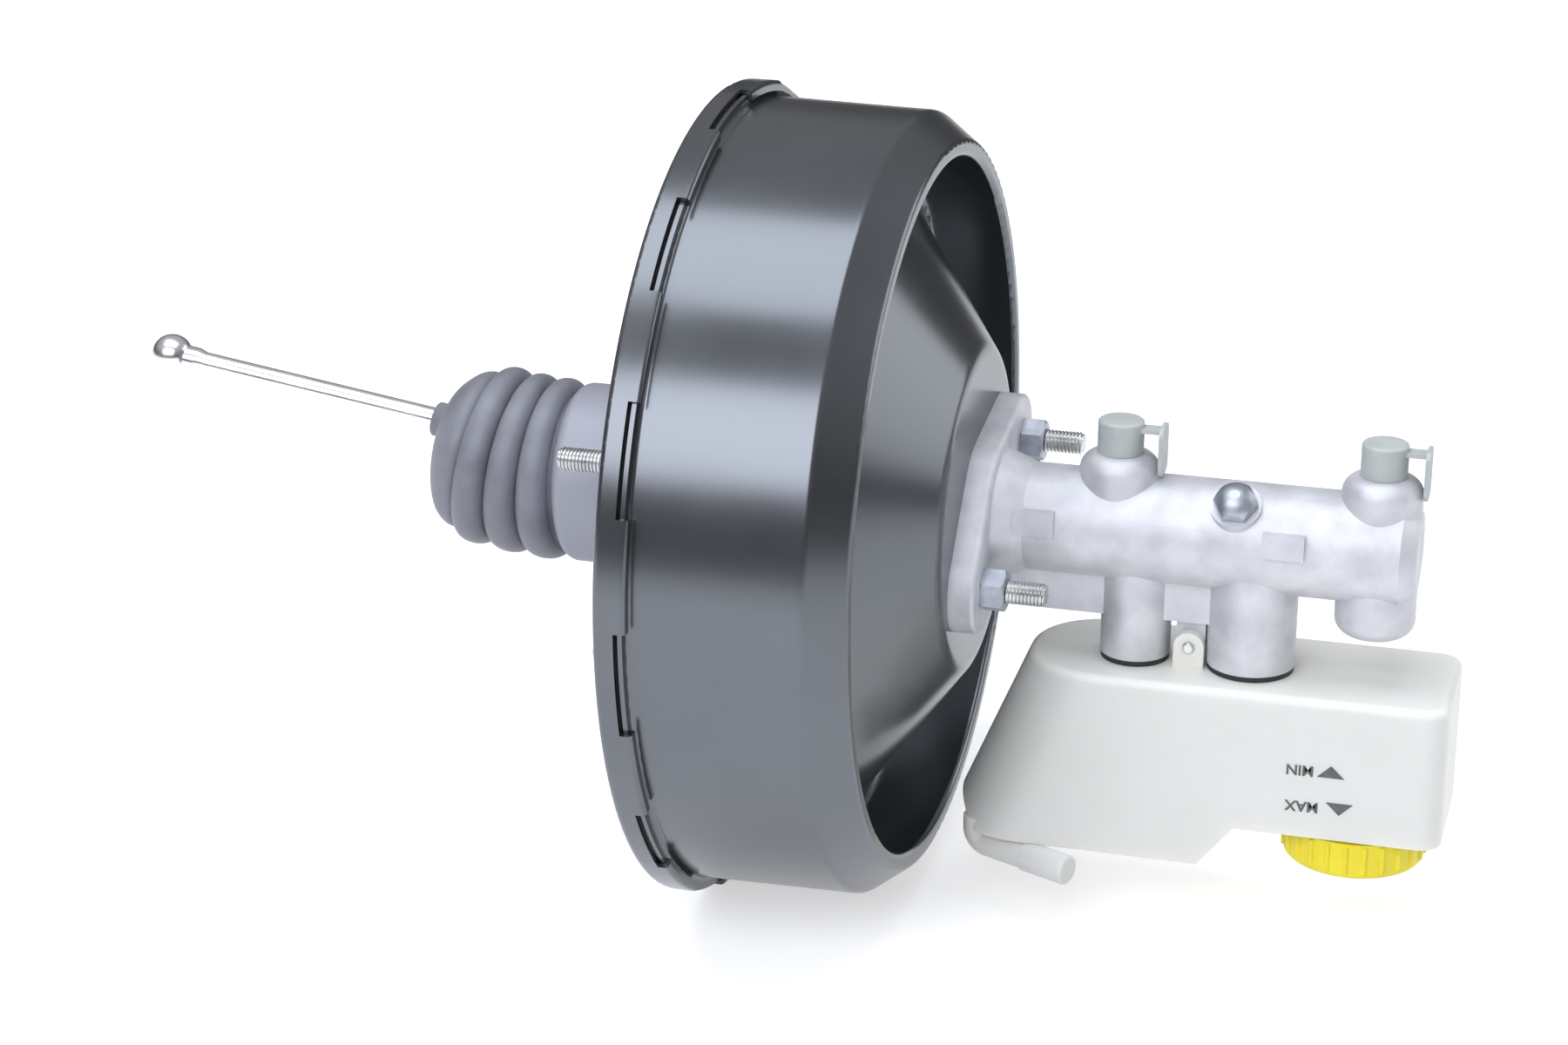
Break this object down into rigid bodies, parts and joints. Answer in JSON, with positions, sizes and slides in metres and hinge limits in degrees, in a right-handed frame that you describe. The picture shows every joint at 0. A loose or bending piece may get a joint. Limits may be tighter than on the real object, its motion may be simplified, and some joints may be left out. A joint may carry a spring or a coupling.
{
  "type": "brake booster",
  "caption": "Vacuum brake booster: a crimped steel drum with a booted push rod behind, a tandem master cylinder in front and a fluid reservoir pinned to it.",
  "frame": {"origin": "centre of the rear mounting face, which bolts to the bulkhead", "axes": "+X forwards along the drum's axis to the master cylinder, +Z away from the reservoir (the unit lies with its reservoir below, upside down to the car)"},
  "size_m": [0.4723, 0.2828, 0.2828],
  "materials": {
    "black_paint": "gloss",
    "zinc_steel": "satin",
    "spring_steel": "satin",
    "cast_aluminium": "cast",
    "boot_rubber": "matte",
    "black_rubber": "matte",
    "dark_moulding": "matte",
    "cream_plastic": "satin, translucent",
    "white_plastic": "satin",
    "yellow_plastic": "satin",
    "plug_plastic": "matte",
    "felt": "felt"
  },
  "bodies": {
    "housing": {"front_shell": "black_paint", "rear_shell": "black_paint", "rear_mounting_studs": "zinc_steel", "stud_plate": "zinc_steel", "cylinder_studs": "zinc_steel", "cylinder_nuts": "zinc_steel", "cylinder_o_ring": "black_rubber", "master_cylinder_body": "cast_aluminium", "outlet_port_plugs": "plug_plastic", "stop_screw": "zinc_steel", "guide_bush": "dark_moulding", "snap_ring": "zinc_steel", "primary_spring": "spring_steel", "secondary_spring": "spring_steel", "return_spring": "spring_steel", "diaphragm": "black_rubber", "boot": "boot_rubber", "neck_seal": "black_rubber", "neck_bearing": "dark_moulding", "reservoir_body": "cream_plastic", "reservoir_grommets": "black_rubber", "reservoir_pin": "zinc_steel", "filler_strainer": "white_plastic", "nozzle_cap": "white_plastic", "check_valve_grommet": "black_rubber", "check_valve_body": "dark_moulding", "check_valve_spring": "spring_steel"},
    "power_piston": {"valve_body": "dark_moulding", "diaphragm_plate": "zinc_steel", "reaction_disc": "black_rubber", "output_rod": "zinc_steel", "output_rod_retainer": "zinc_steel", "stop_key": "zinc_steel", "air_filter": "felt", "air_silencer": "felt", "control_valve": "black_rubber", "control_valve_retainer": "zinc_steel", "poppet_spring": "spring_steel"},
    "plunger": {"valve_plunger": "dark_moulding"},
    "input_rod": {"input_rod": "zinc_steel"},
    "primary_piston": {"primary_piston": "cast_aluminium", "primary_cups": "black_rubber"},
    "secondary_piston": {"secondary_piston": "cast_aluminium", "secondary_cups": "black_rubber"},
    "check_disc": {"check_valve_disc": "black_rubber"},
    "cap_seal": {"cap_seal": "black_rubber"},
    "cap": {"reservoir_cap": "yellow_plastic"}
  },
  "joints": [
    {"name": "power_stroke", "type": "slide", "parent": "housing", "child": "power_piston", "axis": [1, 0, 0], "range_m": [0, 0.032], "stiffness_N_per_m": 3000, "springref_m": -0.03, "deforming": ["return_spring", "diaphragm", "boot"]},
    {"name": "plunger_slide", "type": "slide", "parent": "power_piston", "child": "plunger", "axis": [1, 0, 0], "range_m": [0, 0.0016], "stiffness_N_per_m": 2500, "springref_m": -0.006},
    {"name": "rod_tilt", "type": "hinge", "parent": "plunger", "child": "input_rod", "pos_m": [0.007, 0, 0], "axis": [0, 1, 0], "range_deg": [-18.2, 1.4], "stiffness_Nm_per_rad": 2},
    {"name": "primary_stroke", "type": "slide", "parent": "housing", "child": "primary_piston", "axis": [1, 0, 0], "range_m": [0, 0.032], "deforming": ["primary_spring"]},
    {"name": "secondary_stroke", "type": "slide", "parent": "housing", "child": "secondary_piston", "axis": [1, 0, 0], "range_m": [0, 0.0144], "deforming": ["secondary_spring"]},
    {"name": "check_disc_lift", "type": "slide", "parent": "housing", "child": "check_disc", "axis": [1, 0, 0], "range_m": [0, 0.002], "stiffness_N_per_m": 40, "springref_m": -0.002, "deforming": ["check_valve_spring"]},
    {"name": "cap_lift", "type": "slide", "parent": "housing", "child": "cap_seal", "axis": [0, 0, -1], "range_m": [0, 0.005]},
    {"name": "cap_turn", "type": "hinge", "parent": "cap_seal", "child": "cap", "pos_m": [0.2413, 0, -0.105], "axis": [0, 0, -1], "range_deg": [0, 450]}
  ],
  "couplings": [
    {"joint": "primary_stroke", "follows": "power_stroke", "ratio": 1},
    {"joint": "secondary_stroke", "follows": "power_stroke", "ratio": 0.45},
    {"joint": "cap_lift", "follows": "cap_turn", "m_per_rad": 0.00063662}
  ]
}
